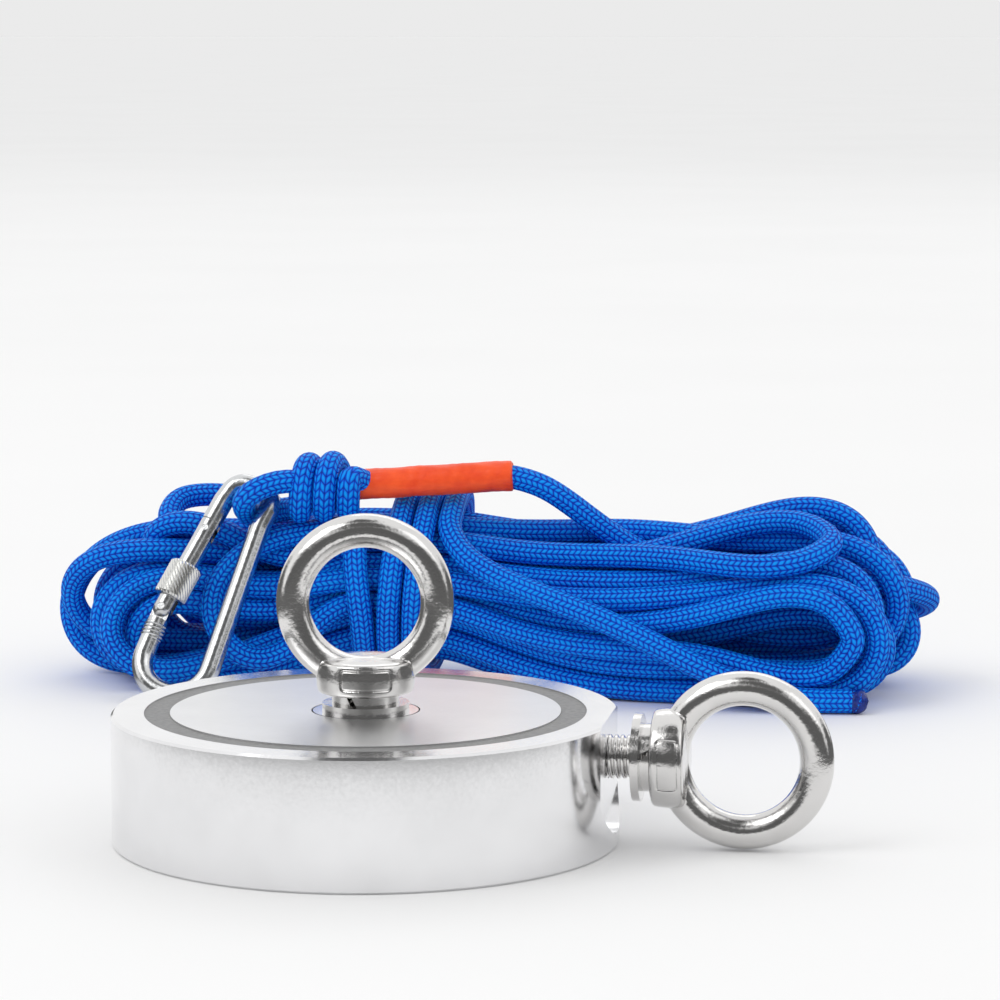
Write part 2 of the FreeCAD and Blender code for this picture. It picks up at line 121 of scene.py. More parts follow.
def metal(name, tint, shine, fine=900.0, wear=0.06, bump=0.02, stain=0.14, pits=0.0):
    """A metal whose colour and roughness both drift with fine handling marks, and pits if it has any."""
    material, tree, shader = new_material(name)
    shader.inputs["Metallic"].default_value = 1.0
    marks = noise(tree, fine, 6.0, 0.6)
    cloud = noise(tree, 45.0, 3.0)
    darker = tuple(channel * (1.0 - stain) for channel in tint)
    tree.links.new(ramp(tree, cloud, [(0.3, darker), (0.7, tint)]), shader.inputs["Base Color"])
    rough = ramp(tree, marks, [(0.35, grey(shine)), (0.7, grey(shine + wear))])
    tree.links.new(rough, shader.inputs["Roughness"])
    height = marks
    if pits:
        waves = noise(tree, 260.0, 3.0, 0.5)
        height = math_node(tree, "ADD", marks, math_node(tree, "MULTIPLY", waves, pits))
    add_bump(tree, shader, height, bump, 0.0002)
    return material


def braid_height(tree):
    """Stitches in columns that lean left and right in turn: 0 between them and 1 on their crowns."""
    where = tree.nodes.new("ShaderNodeUVMap")
    where.uv_map = "strand"
    split = tree.nodes.new("ShaderNodeSeparateXYZ")
    tree.links.new(where.outputs["UV"], split.inputs["Vector"])
    column = math_node(tree, "MULTIPLY", split.outputs["X"], BRAID_COLUMNS)
    across = math_node(tree, "FRACT", column)
    odd = math_node(tree, "MODULO", math_node(tree, "FLOOR", column), 2.0)
    lean = math_node(tree, "SUBTRACT", math_node(tree, "MULTIPLY", odd, 2.0), 1.0)
    slant = math_node(tree, "MULTIPLY", math_node(tree, "SUBTRACT", across, 0.5), lean)
    along = math_node(tree, "MULTIPLY", split.outputs["Y"], BRAID_STITCHES)
    phase = math_node(tree, "ADD", along, math_node(tree, "MULTIPLY", slant, BRAID_SLANT))
    wave = math_node(tree, "SINE", math_node(tree, "MULTIPLY", phase, math.pi))
    stitch = math_node(tree, "POWER", math_node(tree, "ABSOLUTE", wave), BRAID_ROUNDING)
    crown = math_node(tree, "SINE", math_node(tree, "MULTIPLY", across, math.pi))
    ridge = math_node(tree, "POWER", math_node(tree, "MAXIMUM", crown, 0.0), BRAID_ROUNDING)
    return math_node(tree, "MULTIPLY", stitch, ridge)


def rope_material():
    """Blue braid with fine fibres, with painted shade between the stitches and a painted highlight on their
    crowns, on the rope's own UV map.
    """
    material, tree, shader = new_material("blue_braid")
    fibres = noise(tree, 5200.0, 3.0)
    patches = noise(tree, 60.0, 2.0)
    shade = math_node(tree, "ADD", braid_height(tree), math_node(tree, "MULTIPLY", fibres, 0.4))
    patchy = math_node(tree, "ADD", shade, math_node(tree, "MULTIPLY", patches, 0.3))
    stitch_shade_and_tone = math_node(tree, "MULTIPLY", patchy, 0.75)
    # the stitch height paints shade between the stitches and a highlight on their crowns; the fibres and
    # patches add random tone
    tree.links.new(ramp(tree, stitch_shade_and_tone, BRAID_PAINTED_SHADE_AND_HIGHLIGHT), shader.inputs["Base Color"])
    shader.inputs["Roughness"].default_value = 0.5
    shader.inputs["Specular IOR Level"].default_value = 0.16
    add_bump(tree, shader, shade, 1.0, 0.00045)
    return material


def shrink_material():
    material, tree, shader = new_material("orange_shrink")
    cloud = noise(tree, 160.0, 4.0)
    colour = ramp(tree, cloud, [(0.3, (0.84, 0.055, 0.008)), (0.7, (1.0, 0.105, 0.016))])
    tree.links.new(colour, shader.inputs["Base Color"])
    shader.inputs["Roughness"].default_value = 0.42
    shader.inputs["Specular IOR Level"].default_value = 0.3
    shader.inputs["Coat Weight"].default_value = 0.15
    creases = noise(tree, 420.0, 5.0, 0.6, (0.35, 1.6, 1.6))
    add_bump(tree, shader, creases, 0.5, 0.0006)
    return material


def tip_material():
    material, tree, shader = new_material("sealed_blue")
    cloud = noise(tree, 900.0, 4.0)
    colour = ramp(tree, cloud, [(0.3, (0.0, 0.008, 0.12)), (0.7, (0.0, 0.03, 0.32))])
    tree.links.new(colour, shader.inputs["Base Color"])
    shader.inputs["Roughness"].default_value = 0.25
    add_bump(tree, shader, cloud, 0.6, 0.0004)
    return material


def resin_material():
    material, tree, shader = new_material("grey_resin")
    cloud = noise(tree, 700.0, 5.0)
    tree.links.new(ramp(tree, cloud, [(0.3, grey(0.17)), (0.7, grey(0.26))]), shader.inputs["Base Color"])
    shader.inputs["Roughness"].default_value = 0.5
    add_bump(tree, shader, cloud, 0.25, 0.0003)
    return material


# ---------------------------------------------------------------- mesh helpers

def mesh_object(name, vertices, faces, material, smooth=True):
    mesh = bpy.data.meshes.new(name)
    mesh.from_pydata([tuple(point) for point in vertices], [], faces)
    mesh.polygons.foreach_set("use_smooth", [smooth] * len(mesh.polygons))
    mesh.materials.append(material)
    mesh.update()
    made = bpy.data.objects.new(name, mesh)
    bpy.context.collection.objects.link(made)
    return made


def carried_frames(line):
    """Tangents, and two side directions that are carried along the line without twisting."""
    ahead = np.gradient(line, axis=0)
    ahead /= np.linalg.norm(ahead, axis=1)[:, None]
    side = np.zeros_like(line)
    first = np.cross(ahead[0], (0.0, 0.0, 1.0))
    side[0] = first / np.linalg.norm(first)
    for place in range(1, len(line)):
        carried = side[place - 1] - ahead[place] * side[place - 1].dot(ahead[place])
        side[place] = carried / np.linalg.norm(carried)
    return ahead, side, np.cross(ahead, side)


def ring_faces(rings, around):
    """The quads between rings of vertices that follow each other."""
    faces = []
    for ring in range(rings - 1):
        low, high = ring * around, (ring + 1) * around
        for spoke in range(around):
            after = (spoke + 1) % around
            faces.append((low + spoke, low + after, high + after, high + spoke))
    return faces


def strand_chart(far, around):
    """A tube's UV values, corner by corner: its side, then the two fans that close its ends."""
    values = []
    for low, high in zip(far[:-1], far[1:]):
        for spoke in range(around):
            left, right = spoke / around, (spoke + 1) / around
            values += [left, low, right, low, right, high, left, high]
    end = far[-1]
    for spoke in range(around):
        left, right = spoke / around, (spoke + 1) / around
        values += [right, 0.0, left, 0.0, left, -0.1]
        values += [left, end, right, end, left, end + 0.1]
    return values


def tube(name, line, radius, material, around=20, cap=0.5, shape=None):
    """A closed tube along the line, with pointed ends and a UV map in rope circumferences."""
    ahead, side, other = carried_frames(line)
    steps = np.linalg.norm(np.diff(line, axis=0), axis=1)
    far = np.concatenate([[0.0], np.cumsum(steps)])
    angles = np.arange(around) * 2 * math.pi / around
    spokes = np.cos(angles)[None, :, None] * side[:, None, :]
    spokes = spokes + np.sin(angles)[None, :, None] * other[:, None, :]
    sizes = np.full((len(line), around), radius) if shape is None else shape(far, angles)
    rings = line[:, None, :] + spokes * sizes[:, :, None]
    vertices = rings.reshape(-1, 3).tolist()
    faces = ring_faces(len(line), around)
    start = len(vertices)
    vertices.append((line[0] - ahead[0] * radius * cap).tolist())
    vertices.append((line[-1] + ahead[-1] * radius * cap).tolist())
    last = (len(line) - 1) * around
    for spoke in range(around):
        after = (spoke + 1) % around
        faces.append((after, spoke, start))
        faces.append((last + spoke, last + after, start + 1))
    made = mesh_object(name, vertices, faces, material)
    chart = made.data.uv_layers.new(name="strand")
    chart.data.foreach_set("uv", strand_chart(far / (2 * math.pi * radius), around))
    return made


# ---------------------------------------------------------------- eyebolts

THREAD_MINOR = 5.05
THREAD_MAJOR = 6.0
THREAD_PITCH = 1.75
# how far the thread reaches into the collar, and the length and the depth by which its tip narrows
THREAD_OVERLAP = 0.3
THREAD_TIP = (1.2, 0.3)
SHANK_LENGTH = 22.0
RING_CENTRE = 24.8
RING_MAJOR = 19.8
RING_MINOR = 4.7
# the collar's outline from its seat to its crown: radius and height
COLLAR = [
    (0.0, 0.0), (12.3, 0.0), (12.9, 0.25), (13.25, 0.8), (13.45, 2.0), (13.6, 3.6), (13.65, 4.8),
    (13.6, 6.2), (13.45, 7.6), (13.2, 8.5), (12.7, 8.95), (11.6, 9.25), (8.0, 9.45), (0.0, 9.5),
]
# the blank framed pad on the collar's front: half width, half height, corner radius and middle height,
# the half width and depth of the groove round it, and the depth of its floor
PAD = (7.2, 2.7, 1.1, 4.8)
PAD_GROOVE = 0.32
PAD_SINK = 0.34
PAD_FLOOR = 0.1
# the part of the collar that the pad may change: its least radius, its heights and its half width
PAD_ZONE = (12.5, 1.2, 8.4, 9.0)
# where each eyebolt's collar sits, in metres, and the turn from its own upright: angle in degrees and axis
BOLT_SEATS = {
    "top": ((0.0, 0.0, 0.0412), 11.0, "Z"),
    "side": ((0.0798, 0.0, 0.025), 90.0, "Y"),
}


def lathe(outline, around=96):
    """Vertices and faces of an outline of radius and height turned round +Z."""
    vertices = []
    for radius, height in outline:
        for spoke in range(around):
            turn = 2 * math.pi * spoke / around
            vertices.append((radius * math.cos(turn), radius * math.sin(turn), height))
    return vertices, ring_faces(len(outline), around)


def ring_mesh():
    """The eyebolt's ring, standing in the XZ plane."""
    vertices, faces = [], []
    major_steps, minor_steps = 160, 48
    for step in range(major_steps):
        turn = 2 * math.pi * step / major_steps
        for spoke in range(minor_steps):
            lean = 2 * math.pi * spoke / minor_steps
            out = RING_MAJOR + RING_MINOR * math.cos(lean)
            height = RING_CENTRE + out * math.sin(turn)
            vertices.append((out * math.cos(turn), RING_MINOR * math.sin(lean), height))
    for step in range(major_steps):
        for spoke in range(minor_steps):
            low, high = step * minor_steps, (step + 1) % major_steps * minor_steps
            after = (spoke + 1) % minor_steps
            faces.append((low + spoke, high + spoke, high + after, low + after))
    return vertices, faces


def joined(*parts):
    vertices, faces = [], []
    for part_vertices, part_faces in parts:
        start = len(vertices)
        vertices += part_vertices
        faces += [tuple(start + corner for corner in face) for face in part_faces]
    return vertices, faces


def fused(vertices, faces, voxel, rounds):
    """One skin round overlapping closed shapes, softened so that they flow into each other like a forging."""
    mesh = bpy.data.meshes.new("blank")
    mesh.from_pydata([Vector(point) * MM for point in vertices], [], faces)
    holder = bpy.data.objects.new("blank", mesh)
    bpy.context.collection.objects.link(holder)
    skin = holder.modifiers.new("skin", "REMESH")
    skin.mode = "VOXEL"
    skin.voxel_size = voxel * MM
    soft = holder.modifiers.new("soft", "SMOOTH")
    soft.factor = 0.5
    soft.iterations = rounds
    made = bpy.data.meshes.new_from_object(holder.evaluated_get(bpy.context.evaluated_depsgraph_get()))
    points = [tuple(vertex.co / MM) for vertex in made.vertices]
    polygons = [tuple(polygon.vertices) for polygon in made.polygons]
    bpy.data.objects.remove(holder)
    return points, polygons


def pad_depth(across, height):
    """How far the pad's groove and floor sink below the collar's skin, by the distance from its outline."""
    half_width, half_height, corner, middle = PAD
    side = abs(across) - half_width + corner
    rise = abs(height - middle) - half_height + corner
    outside = math.hypot(max(side, 0.0), max(rise, 0.0)) + min(max(side, rise), 0.0) - corner
    groove = max(0.0, 1.0 - (outside / PAD_GROOVE) ** 2)
    return PAD_SINK * groove + (PAD_FLOOR if outside < 0.0 else 0.0)


def stamp(points):
    """Sinks the blank pad into the front of the collar."""
    stamped = []
    least, bottom, top, half = PAD_ZONE
    for x, y, z in points:
        radius = math.hypot(x, y)
        if y < 0.0 and radius > least and bottom < z < top and abs(x) < half:
            depth = pad_depth(radius * math.asin(x / radius), z)
            x, y = x * (1.0 - depth / radius), y * (1.0 - depth / radius)
        stamped.append((x, y, z))
    return stamped


def thread_mesh():
    """The shank: a real single-start thread below the collar, narrowing to a plain tip."""
    around, rows = 48, int(SHANK_LENGTH / THREAD_PITCH * 10)
    vertices = []
    for row in range(rows + 1):
        height = -SHANK_LENGTH * row / rows
        fade = min(1.0, (SHANK_LENGTH + height) / THREAD_TIP[0])
        for spoke in range(around):
            turn = 2 * math.pi * spoke / around
            phase = (height / THREAD_PITCH - spoke / around) % 1.0
            tooth = min(1.0, max(0.0, 1.6 - 3.2 * abs(phase - 0.5)))
            radius = THREAD_MINOR + (THREAD_MAJOR - THREAD_MINOR) * tooth
            radius = min(radius, THREAD_MINOR - THREAD_TIP[1] + 1.3 * fade)
            vertices.append((radius * math.cos(turn), radius * math.sin(turn), height + THREAD_OVERLAP))
    faces = []
    for row in range(rows):
        for spoke in range(around):
            after = (spoke + 1) % around
            low, high = row * around, (row + 1) * around
            faces.append((low + spoke, high + spoke, high + after, low + after))
    faces.append(tuple(range(around)))
    faces.append(tuple(reversed(range(rows * around, (rows + 1) * around))))
    return vertices, faces


def build_eyebolts(material):
    """One forged eyebolt, placed at both seats."""
    points, faces = fused(*joined(lathe(COLLAR), ring_mesh()), voxel=0.26, rounds=3)
    points, faces = joined((stamp(points), faces), thread_mesh())
    for place, (centre, turn, axis) in BOLT_SEATS.items():
        seat = Matrix.Translation(centre) @ Matrix.Rotation(math.radians(turn), 4, axis)
        placed = [seat @ (Vector(point) * MM) for point in points]
        bolt = mesh_object(place + "_forged_eyebolt", placed, faces, material)
        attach(bolt, place + "_bolt")
        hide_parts(place + "_eyebolt")


# ---------------------------------------------------------------- rope

ROPE_RADIUS = 4.0
# the distance between the points of a coiled stretch
SPACING = 7.0
# the hank's axis lies along X at AXIS_Y, with the middle of its waist at WAIST_X
AXIS_Y = 250.0
WAIST_X = -35.0
# half the length of the waist in which the strands stay where they are packed
WAIST_HALF = 17.0
# where the strands begin to part, and to drift, on each side of the waist's middle, and over what length
PARTING = (15.0, 45.0)
DRIFTING = (40.0, 60.0)
LARGEST_DRIFT = 0.12
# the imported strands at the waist: the pitch of their columns and rows, the bundle's radius, the radius that
# parts its core from its shell, and the section's own half width there
PACK_PITCH = (7.15, 4.13)
PACK_RADIUS = 22.2
CORE_RADIUS = 13.0
SHELL_RADIUS = 21.7
# the shell's first angle and step in the open parts of the hank, in degrees, and how far the core spreads
# there
FAN = (-172.5, 15.0)
CORE_SPREAD = 1.25
# the winding order goes by depth: of the shell, and of the core by its radius, with a random share
SHELL_DEPTH = 34.0
CORE_DEPTH = 1.5
DEPTH_MIX = 5.0
# the hank's strand centres: distance along X, half width, half height and centre height
SECTIONS = [
    (-160.0, 22.0, 19.0, 26.0),
    (-132.0, 27.0, 24.5, 29.0),
    (-95.0, 27.0, 25.0, 30.0),
    (-66.0, 24.0, 23.0, 31.5),
    (-50.0, 21.7, 21.7, 34.0),
    (-20.0, 21.7, 21.7, 34.0),
    (4.0, 29.0, 25.0, 31.5),
    (40.0, 33.0, 26.5, 31.0),
    (105.0, 34.0, 27.0, 31.6),
    (132.0, 31.0, 25.0, 29.5),
    (150.0, 26.0, 22.0, 28.0),
]
# turns whose left end is a narrow loop of two upper strands, standing up out of the hank: their places in the
# winding order, their tip and reach, how far ahead in the order the second upper strand is taken from, and
# the direction in which they stand
EAR_PLACES = (12, 20)
EAR_TIP = -128.0
EAR_REACH = 24.0
EAR_SWAP = 3
EAR_OUTWARD = (-0.62, -0.05, 0.78)
# each end of the hank, by its sign along X: where the width of a bend is measured, the tip of a full bend,
# how far the narrowest one stays back from it, a full bend's half width, and the random spread of the tips
HANK_ENDS = {
    1: (120.0, 149.0, 24.0, 27.0, (-7.0, 5.0)),
    -1: (-125.0, -157.0, 20.0, 25.0, (-4.0, 16.0)),
}
# a bend's reach past its two strands as a share of its half width, and the least reach
BEND_REACH = (0.95, 10.0)
# where the first strand starts and the last one ends
FIRST_X = 38.0
LAST_X = -92.0
# the first strand, which the knot's tail runs into: radius, angle at the waist and in the open, and no shell
TAIL_SLOT = (12.0, math.radians(100), math.radians(100), False)
# the knot's axis: its start, a point further along it, and the directions in front of it and above it
KNOT_START = np.array((-68.0, 230.8, 68.2))
KNOT_AIM = np.array((17.0, 235.8, 74.2))
ALONG = (KNOT_AIM - KNOT_START) / np.linalg.norm(KNOT_AIM - KNOT_START)
KNOT_FRONT = np.array((0.0155, -0.8651, 0.5011))
KNOT_UP = np.cross(KNOT_FRONT, ALONG)
# the rope's end inside the knot, and its eye round the carabiner's wire
EYE_ROUTE = [
    (-54.0, 231.6, 69.2),
    (-61.9, 227.8, 70.2),
    (-72.6, 221.2, 72.1),
    (-85.0, 217.8, 66.2),
    (-85.0, 233.7, 57.0),
    (-75.0, 238.0, 60.0),
]
# the knot winds two and a half times round the eye's legs: points in a turn and in all, where it starts along
# the legs, its pitch and its radius
WRAP_PER_TURN = 12
WRAP_STEPS = 30
WRAP_START = -1.0
WRAP_PITCH = 8.1
WRAP_RADIUS = 8.2
# out of the shrink sleeve and down into the hank
TAIL_ROUTE = [
    (13.5, 236.2, 73.0),
    (19.5, 236.9, 69.6),
    (23.6, 237.8, 63.6),
    (27.4, 239.2, 57.4),
    (32.2, 240.4, 52.0),
]
# from the last turn round the hank's front and up to the waist
RETURN_ROUTE = [
    (-101.0, 224.0, 17.0),
    (-106.0, 221.0, 25.0),
    (-103.0, 221.0, 34.0),
    (-96.0, 223.0, 41.5),
    (-88.0, 226.0, 47.5),
    (-80.0, 228.5, 53.0),
    (-71.5, 229.5, 57.0),
    (-63.5, 229.0, 59.5),
    (-57.0, 228.5, 59.5),
]
# the wraps round the waist: points in a turn, turns, first angle, first place along X, pitch, how far they
# slant, how far the first one starts to the left, radius and centre height
WAIST_PER_TURN = 28
WAIST_TURNS = 3
WAIST_ANGLE = 135.0
WAIST_START = -44.0
WAIST_PITCH = 8.4
WAIST_SLANT = 4.0
WAIST_LEAD = 6.0
WAIST_WRAP_RADIUS = 30.3
WAIST_HEIGHT = 34.3
# the free end: its points, its start and step along X, its first angle and turn in degrees, and its height
# over the strands
END_POINTS = 20
END_START = -12.0
END_STEP = 6.9
END_ANGLES = (135.0, 88.0)
END_CLEARANCE = 8.2
# the settling: passes, passes between two searches for close strands and how far these look, the distance
# that keeps strands apart, the lowest centre, the range of a step between two points, and the shares of a
# fault that one pass mends. CHORDS holds spans of steps and the least chord over them, as a share of their
# length
PASSES = 600
SEARCH_EVERY = 6
SEARCH_REACH = 13.0
TOUCH = 8.3
LOWEST = ROPE_RADIUS + 0.25
STEP_RANGE = (5.0, 9.0)
BEND_SHARE = 0.30
CHORD_SHARE = 0.4
TOUCH_SHARE = 0.45
CLIP_SHARE = 0.5
CHORDS = ((2, 0.944), (4, 0.79))
LARGEST_PUSH = 1.5
SINKING = 0.012
TINY = 1e-6
# the carabiner's own directions from its gate hinge, and the space beside it that free strands keep out of:
# the ranges along its back, its gate and across
CLIP_HINGE = np.array((-109.071, 207.276, 29.62))
CLIP_BACK = np.array((0.0, 0.866025, -0.5))
CLIP_ALONG = np.array((0.384512, 0.46156, 0.799445))
CLIP_ACROSS = np.cross(CLIP_BACK, CLIP_ALONG)
CLIP_REACH = ((-12.0, 8.4), (-34.0, 48.0), (-9.0, 34.0))


def eased(value):
    """0 below 0, 1 above 1 and a smooth step between them."""
    value = min(max(value, 0.0), 1.0)
    return value * value * (3.0 - 2.0 * value)


def packed_slots():
    """Each strand's radius and angle at the waist, its angle in the open parts, and whether it is outside."""
    found = []
    for column in range(-3, 4):
        for row in range(-7, 8):
            across, up = column * PACK_PITCH[0], row * PACK_PITCH[1]
            if (row + column) % 2 == 0 and math.hypot(across, up) < PACK_RADIUS:
                found.append((math.hypot(across, up), math.atan2(up, across)))
    found.sort(key=lambda slot: slot[1])
    shell = [slot for slot in found if slot[0] > CORE_RADIUS]
    core = [slot for slot in found if slot[0] <= CORE_RADIUS]
    fanned = [math.radians(FAN[0] + FAN[1] * number) for number in range(len(shell))]
    slots = [(radius, angle, spread, True) for (radius, angle), spread in zip(shell, fanned)]
    return slots + [(radius, angle, angle, False) for radius, angle in core]


def winding_order(dice):
    """Lower and upper strands in turn, from the hank's back to its front."""
    def depth(slot):
        reach = SHELL_DEPTH if slot[3] else slot[0] * CORE_DEPTH
        return -reach * math.cos(slot[2]) + dice.uniform(-DEPTH_MIX, DEPTH_MIX)
    slots = packed_slots()
    lower = sorted((slot for slot in slots if math.sin(slot[2]) < 0.01), key=depth)
    upper = sorted((slot for slot in slots if math.sin(slot[2]) >= 0.01), key=depth)
    order = []
    for number, slot in enumerate(lower):
        order.append(slot)
        order += upper[number:number + 1]
    for place in EAR_PLACES:
        order[place], order[place + EAR_SWAP] = order[place + EAR_SWAP], order[place]
    return order


def strand_point(slot, x, drift):
    """A strand's centre at this X: packed at the waist and fanned out in the open parts of the hank."""
    radius, angle, open_angle, outside = slot
    wide, high, middle = section_at(x)
    away = abs(x - WAIST_X)
    opened = eased((away - PARTING[0]) / PARTING[1])
    part = radius / SHELL_RADIUS
    part += ((1.0 if outside else part * CORE_SPREAD) - part) * opened
    turn = angle + (open_angle - angle) * opened + drift * eased((away - DRIFTING[0]) / DRIFTING[1])
    return np.array((x, AXIS_Y + wide * part * math.cos(turn), middle + high * part * math.sin(turn)))


class Route:
    """The rope's points in order, and which of them the settling leaves where they are."""

    def __init__(self):
        self.points = []
        self.fixed = []

    def add(self, point, fixed=False):
        self.points.append(np.array(point, dtype=float))
        self.fixed.append(fixed)

    def strand(self, slot, start, end, drift):
        """One strand of the hank from end to end, which only the waist holds."""
        count = max(2, round(abs(end - start) / SPACING))
        for step in range(count + 1):
            x = start + (end - start) * step / count
            self.add(strand_point(slot, x, drift), abs(x - WAIST_X) < WAIST_HALF)

    def bend(self, target, outward, reach):
        """Half an ellipse from the last point to the target."""
        first = self.points[-1]
        middle, half = (first + target) / 2, (first - target) / 2
        arc = math.pi * (np.linalg.norm(half) + reach) / 2
        count = max(3, round(arc / SPACING))
        for step in range(1, count):
            turn = math.pi * step / count
            self.add(middle + half * math.cos(turn) + np.array(outward) * reach * math.sin(turn))


def add_knot(route):
    """From the rope's hidden end round the carabiner, through the knot's wraps and the shrink sleeve."""
    for point in EYE_ROUTE:
        route.add(point, True)
    for step in range(1, WRAP_STEPS + 1):
        turn = math.pi + 2 * math.pi * step / WRAP_PER_TURN
        out = KNOT_FRONT * math.cos(turn) + KNOT_UP * math.sin(turn)
        along = WRAP_START + WRAP_PITCH * step / WRAP_PER_TURN
        route.add(KNOT_START + ALONG * along + out * WRAP_RADIUS, True)
    for distance in range(24, 77, 8):
        route.add(KNOT_START + ALONG * distance, True)
    for point in TAIL_ROUTE:
        route.add(point)


def add_hank(route, dice):
    """Winds the strands to and fro, with a bend at each end that is as wide as its two strands are apart."""
    strands = [(TAIL_SLOT, 0.0)]
    for slot in winding_order(dice):
        strands.append((slot, dice.uniform(-LARGEST_DRIFT, LARGEST_DRIFT)))
    start = FIRST_X
    for number, (slot, drift) in enumerate(strands[:-1]):
        side = 1 if number % 2 == 0 else -1
        after, after_drift = strands[number + 1]
        probe, full_tip, shortfall, full_half, spread = HANK_ENDS[side]
        apart = strand_point(slot, probe, drift) - strand_point(after, probe, after_drift)
        half = np.linalg.norm(apart) / 2
        reach = max(half * BEND_REACH[0], BEND_REACH[1])
        narrow = 1.0 - min(half / full_half, 1.0) ** 1.5
        tip = full_tip - side * shortfall * narrow + dice.uniform(*spread)
        outward = (side, 0.0, 0.0)
        if number - 1 in EAR_PLACES:
            tip, reach, outward = EAR_TIP, EAR_REACH, EAR_OUTWARD
        end = tip - side * reach
        route.strand(slot, start, end, drift)
        route.bend(strand_point(after, end, after_drift), outward, reach)
        start = end
    slot, drift = strands[-1]
    route.strand(slot, start, LAST_X, drift)


def add_waist(route):
    """Up the hank's front and three times round its waist."""
    for point in RETURN_ROUTE:
        route.add(point)
    for step in range(WAIST_PER_TURN * WAIST_TURNS + 1):
        turn = math.radians(WAIST_ANGLE) + 2 * math.pi * step / WAIST_PER_TURN
        x = WAIST_START + WAIST_PITCH * step / WAIST_PER_TURN + WAIST_SLANT * math.sin(turn)
        x -= WAIST_LEAD * (1.0 - eased(step / 6))
        y = AXIS_Y + WAIST_WRAP_RADIUS * math.cos(turn)
        route.add((x, y, WAIST_HEIGHT + WAIST_WRAP_RADIUS * math.sin(turn)), True)


def section_at(x):
    """The hank's half width, half height and centre height at this X."""
    xs, widths, heights, middles = zip(*SECTIONS)
    return tuple(float(np.interp(x, xs, column)) for column in (widths, heights, middles))


def add_free_end(route):
    """The free end slants over the hank's front from the waist and comes down to the floor."""
    for step in range(1, END_POINTS + 1):
        x = END_START + END_STEP * step
        turn = math.radians(END_ANGLES[0] + END_ANGLES[1] * eased(step / END_POINTS))
        wide, high, middle = section_at(x)
        y = AXIS_Y + (wide + END_CLEARANCE) * math.cos(turn)
        route.add((x, y, middle + (high + END_CLEARANCE) * math.sin(turn)))


def chord_push(points, span, least):
    """Opens a bend whose chord over this many steps is too short."""
    apart = points[span:] - points[:-span]
    size = np.linalg.norm(apart, axis=1)
    short = np.clip(least * span * SPACING - size, 0.0, None) / np.maximum(size, TINY)
    move = apart * (short * CHORD_SHARE)[:, None]
    push = np.zeros_like(points)
    push[:-span] -= move
    push[span:] += move
    return push


def keep_behind_clip(points, free):
    """Moves free points out of the carabiner's space, to its back."""
    offset = points - CLIP_HINGE
    inside = free > 0.0
    for direction, (low, high) in zip((CLIP_BACK, CLIP_ALONG, CLIP_ACROSS), CLIP_REACH):
        inside &= (offset @ direction > low) & (offset @ direction < high)
    missing = CLIP_REACH[0][1] - offset[inside] @ CLIP_BACK
    points[inside] += CLIP_BACK * missing[:, None] * CLIP_SHARE


def close_pairs(points, free):
    """Pairs of points that may come to touch, without neighbours along the rope."""
    square = (points ** 2).sum(axis=1)
    gap = square[:, None] + square[None, :] - 2.0 * points @ points.T
    first, second = np.nonzero(gap < SEARCH_REACH ** 2)
    wanted = (second - first > 2) & (free[first] + free[second] > 0.0)
    return first[wanted], second[wanted]


def even_bends(points, loose):
    """Draws each point toward the middle of its neighbours, and opens bends that are too tight."""
    bend = (points[:-2] + points[2:]) / 2 - points[1:-1]
    push = np.zeros_like(points)
    push[1:-1] += bend * BEND_SHARE
    push[:-2] -= bend * (BEND_SHARE / 2)
    push[2:] -= bend * (BEND_SHARE / 2)
    points += push * loose
    for span, least in CHORDS:
        points += chord_push(points, span, least) * loose


def keep_lengths(points, rest, free):
    """Brings every second step back to its own length, and then the steps between them."""
    loose = free[:, None]
    for odd in (0, 1):
        low = np.arange(odd, len(points) - 1, 2)
        apart = points[low + 1] - points[low]
        size = np.linalg.norm(apart, axis=1)
        share = np.maximum(free[low] + free[low + 1], TINY)
        excess = (size - rest[low]) / np.maximum(size, TINY)
        fix = apart * (excess / share)[:, None]
        points[low] += fix * loose[low]
        points[low + 1] -= fix * loose[low + 1]


def push_apart(points, first, second, free):
    """Moves strands that overlap away from each other, a little at a time."""
    loose = free[:, None]
    apart = points[second] - points[first]
    size = np.linalg.norm(apart, axis=1)
    near = size < TOUCH
    one, two = first[near], second[near]
    share = free[one] + free[two]
    overlap = (TOUCH - size[near]) / np.maximum(size[near], TINY)
    fix = apart[near] * (overlap * TOUCH_SHARE / share)[:, None]
    push = np.zeros_like(points)
    np.add.at(push, one, -fix * loose[one])
    np.add.at(push, two, fix * loose[two])
    size = np.linalg.norm(push, axis=1)
    points += push * np.minimum(1.0, LARGEST_PUSH / np.maximum(size, TINY))[:, None]


def settle(points, fixed):
    """Lets the wound rope find its own place: even bends, its own length, no strand inside another."""
    rest = np.clip(np.linalg.norm(np.diff(points, axis=0), axis=1), *STEP_RANGE)
    free = (~fixed).astype(float)
    for step in range(PASSES):
        if step % SEARCH_EVERY == 0:
            first, second = close_pairs(points, free)
        even_bends(points, free[:, None])
        keep_lengths(points, rest, free)
        for again in range(2):
            push_apart(points, first, second, free)
        keep_behind_clip(points, free)
        points[:, 2] -= SINKING * free
        too_low = (free > 0.0) & (points[:, 2] < LOWEST)
        points[:, 2] = np.where(too_low, LOWEST, points[:, 2])
    return points


def spline_line(points):
    """The rope's line: a NURBS spline with the points as its control points, read back as a polyline."""
    curve = bpy.data.curves.new("rope_line", "CURVE")
    curve.dimensions = "3D"
    curve.resolution_u = 4
    spline = curve.splines.new("NURBS")
    spline.points.add(len(points) - 1)
    for slot, point in zip(spline.points, points):
        slot.co = (*(point * MM), 1.0)
    spline.order_u = 3
    spline.use_endpoint_u = True
    holder = bpy.data.objects.new("rope_line", curve)
    bpy.context.collection.objects.link(holder)
    mesh = bpy.data.meshes.new_from_object(holder)
    line = np.array([vertex.co[:] for vertex in mesh.vertices])
    bpy.data.objects.remove(holder)
    return line


